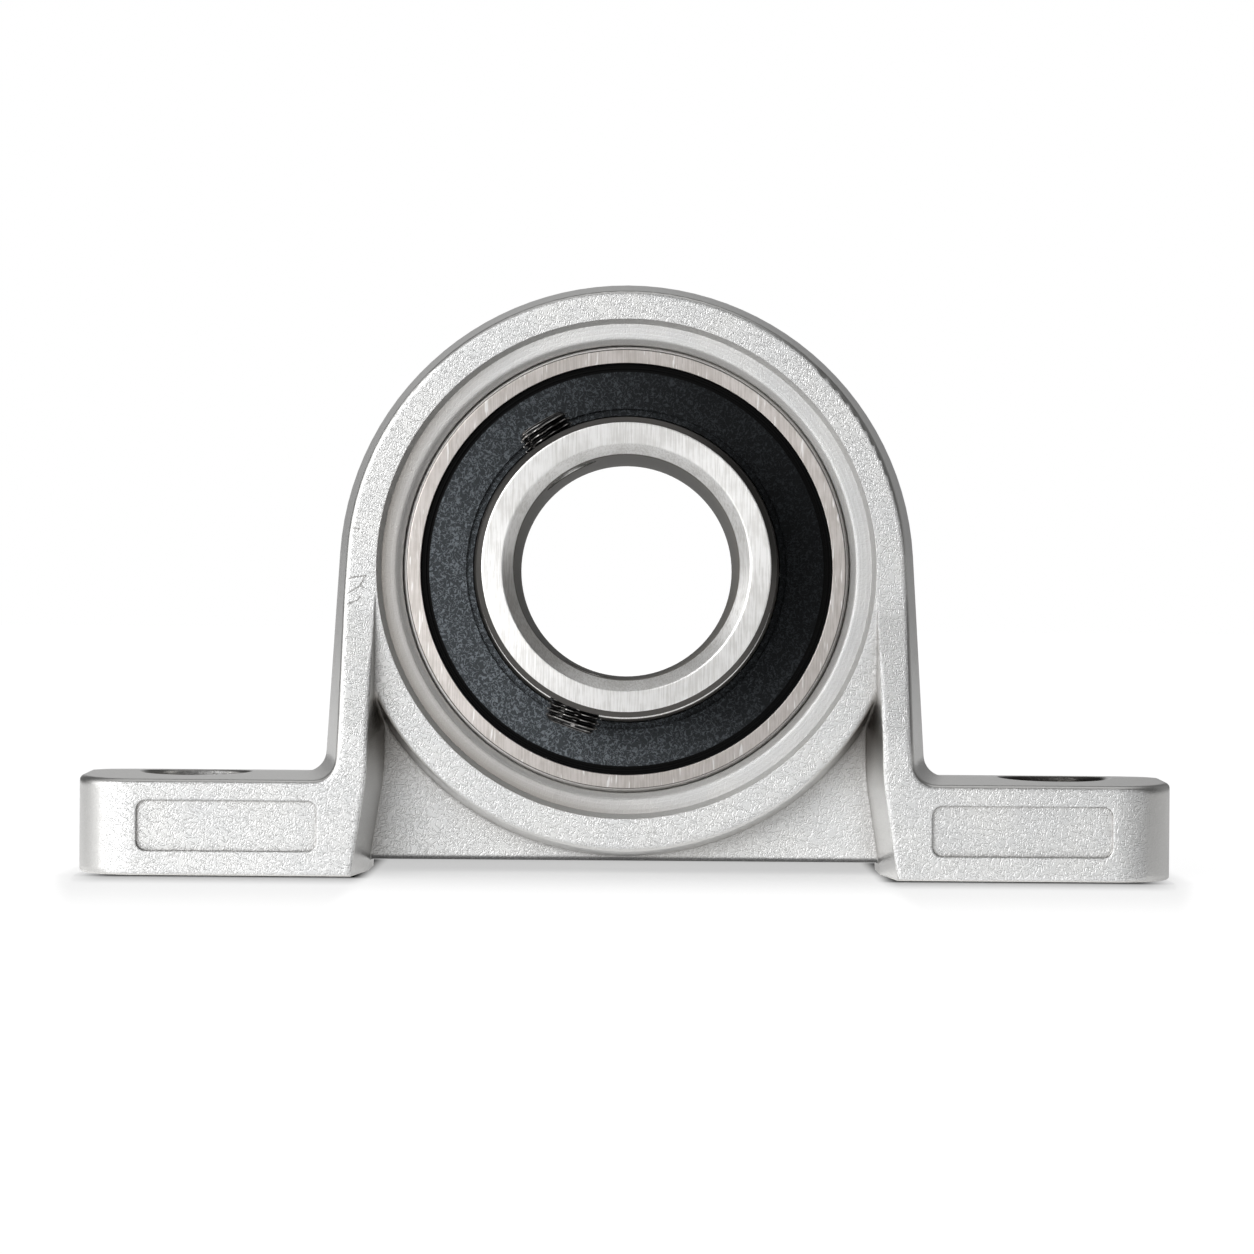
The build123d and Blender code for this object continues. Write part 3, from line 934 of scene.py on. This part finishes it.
def shade_round_feet(tree, place, behind):
    """How much of the floor's glow is lost near the block."""
    in_front = beyond(tree, place.outputs["Y"], half_depth)
    ahead = times(tree, in_front, ahead_share)
    half_width = minus(tree, half_length - 0.5, times(tree, in_front, 0.18))
    half_width = minus(tree, half_width, times(tree, behind, 0.6))
    crispness = ramp(tree, behind, 0.0, 15.0, low=crisp_side, high=soft_side)
    side = times(tree, beyond(tree, place.outputs["X"], half_width), crispness)
    away = maths(tree, "SQRT", plus(tree, times(tree, side, side), times(tree, ahead, ahead)))
    line = plus(tree, fade(tree, away, 0.0, 0.18, full=0.45), fade(tree, away, 0.0, 0.8, full=0.42))
    from_middle = maths(tree, "ABSOLUTE", place.outputs["X"])
    line = times(tree, line, ramp(tree, from_middle, foot_end, half_length, low=1.0, high=0.1))
    return plus(tree, line, fade(tree, away, 0.6, 3.2, full=0.14))


print(f"Shade from the block's outline, {2 * half_length} by {2 * half_depth} mm")

# %% [markdown]
# Between the legs the web hangs a millimetre above the floor, and the shade under it is broad and
# even, fading towards the front. It could be drawn as one shade with the feet's, but two simple ones
# that meet at the inner sides of the legs are easier to set.

# %% Glow of the floor
floor_dimming = 0.08


def floor_glow(tree):
    """Strength of the floor's own light: nearly 1, and less in the shade of the block."""
    place = node(tree, "ShaderNodeSeparateXYZ", {0: millimetres(tree)})
    behind = larger(tree, minus(tree, place.outputs["Y"], half_depth), 0.0)
    round_feet = minus(tree, 1.0, shade_round_feet(tree, place, behind))
    under_web = ramp(tree, place.outputs["Y"], -33.0, 14.0, low=1.0, high=0.57)
    from_middle = maths(tree, "ABSOLUTE", place.outputs["X"])
    at_feet = ramp(tree, from_middle, leg_inside - 1.0, leg_inside + 1.0)
    at_feet = larger(tree, at_feet, ramp(tree, behind, 0.0, 5.0))
    inputs = {"Factor": at_feet, "A": under_web, "B": round_feet}
    glow = node(tree, "ShaderNodeMix", inputs).outputs["Result"]
    return minus(tree, glow, floor_dimming)


print(f"Glow {1 - floor_dimming:.2f} away from the block")

# %% [markdown]
# Brighter lights would turn the floor white but bleach the part. So the camera sees the glow, with a
# dark floor under it that keeps the real shadow. Light that bounces on to the part comes off a plain
# white floor without any glow, and a wall that mirrors the floor sees half a glow, less on the right.

# %% White floor
lit_white = (0.85, 0.85, 0.85, 1)
seen_white = (0.25, 0.25, 0.25, 1)
left_mirror_glow = 0.47
right_mirror_glow = 0.22


def straight_rays(tree):
    """1 for what the camera sees directly or through glass."""
    rays = node(tree, "ShaderNodeLightPath")
    return larger(tree, rays.outputs["Is Camera Ray"], rays.outputs["Is Transmission Ray"])


def white_floor():
    """The floor's finish."""
    material, tree, shader = new_finish("white_floor", Roughness=0.9, Specular_IOR_Level=0.0)
    shader.inputs["Emission Color"].default_value = (1, 1, 1, 1)
    straight = straight_rays(tree)
    place = node(tree, "ShaderNodeSeparateXYZ", {0: millimetres(tree)})
    in_mirror = ramp(tree, place.outputs["X"], 30.0, 65.0, low=left_mirror_glow, high=right_mirror_glow)
    glossy = node(tree, "ShaderNodeLightPath").outputs["Is Glossy Ray"]
    strength = plus(tree, times(tree, floor_glow(tree), straight), times(tree, glossy, in_mirror))
    colour = mix_colour(tree, straight, lit_white, seen_white)
    plug(tree, shader, Base_Color=colour, Emission_Strength=strength)
    return material


floor_mesh.materials.append(white_floor())
show(floor_mesh.materials[0])

# %% [markdown]
# Metal shows what it mirrors, so the lights are soft patches of a round studio wall, painted on the
# world. Area lamps would do too, but their edges show as lines on the turned walls. The large light on
# the front left fades along the left side, and the ceiling, the right and the back stay dimmer, which
# gives the metal its darker bands.

# %% Hang the lights
base_light = 0.11
studio = {
    "key": ((-0.57, -0.80, 0.17), 5, 28, 3.6),
    "key side": ((-0.80, -0.57, 0.17), 5, 28, 2.0),
    "key edge": ((-0.97, -0.17, 0.17), 5, 28, 1.2),
    "front left": ((-0.34, -0.92, 0.17), 5, 28, 1.1),
    "front": ((0.0, -1.0, 0.08), 5, 28, 0.2),
    "top": ((0.0, 0.1, 1.0), 10, 40, 0.6),
    "top left": ((-0.7, -0.1, 0.7), 8, 30, 0.3),
    "rear right": ((0.8, 0.6, 0.15), 10, 40, 0.15),
    "behind": ((-0.06, 1.0, 0.1), 8, 25, 0.55),
}


def soft_light(tree, ray, direction, inner, outer, strength):
    """A round glow on the studio's wall, full inside one angle and gone outside another."""
    aim = Vector(direction).normalized()
    facing = vector_maths(tree, "DOT_PRODUCT", ray, aim, result="Value")
    return ramp(tree, facing, cos(radians(outer)), cos(radians(inner)), high=strength)


def studio_light(tree):
    """All the lights together, on a low even light."""
    ray = node(tree, "ShaderNodeTexCoord").outputs["Generated"]
    total = base_light
    for direction, inner, outer, strength in studio.values():
        total = plus(tree, soft_light(tree, ray, direction, inner, outer, strength), total)
    return total


print("Lights on the studio's wall:", ", ".join(studio))

# %% [markdown]
# Past the part, the camera looks at a plain white wall. Only what it sees directly is that white: the
# part is lit by the soft patches alone, at a level at which a colour comes out about as it is written.

# %% World
world = bpy.data.worlds.new("studio")
bpy.context.scene.world = world
world.use_nodes = True
tree = world.node_tree
tree.nodes.clear()
strength = larger(tree, studio_light(tree), straight_rays(tree))
background = node(tree, "ShaderNodeBackground", {"Color": (1, 1, 1, 1), "Strength": strength})
output = node(tree, "ShaderNodeOutputWorld")
tree.links.new(background.outputs[0], output.inputs["Surface"])
bpy.context.scene.view_settings.view_transform = "Standard"
print(f"World: {len(tree.nodes)} nodes")

# %% [markdown]
# A finish must not change a size.

# %% Sizes and finish
import json
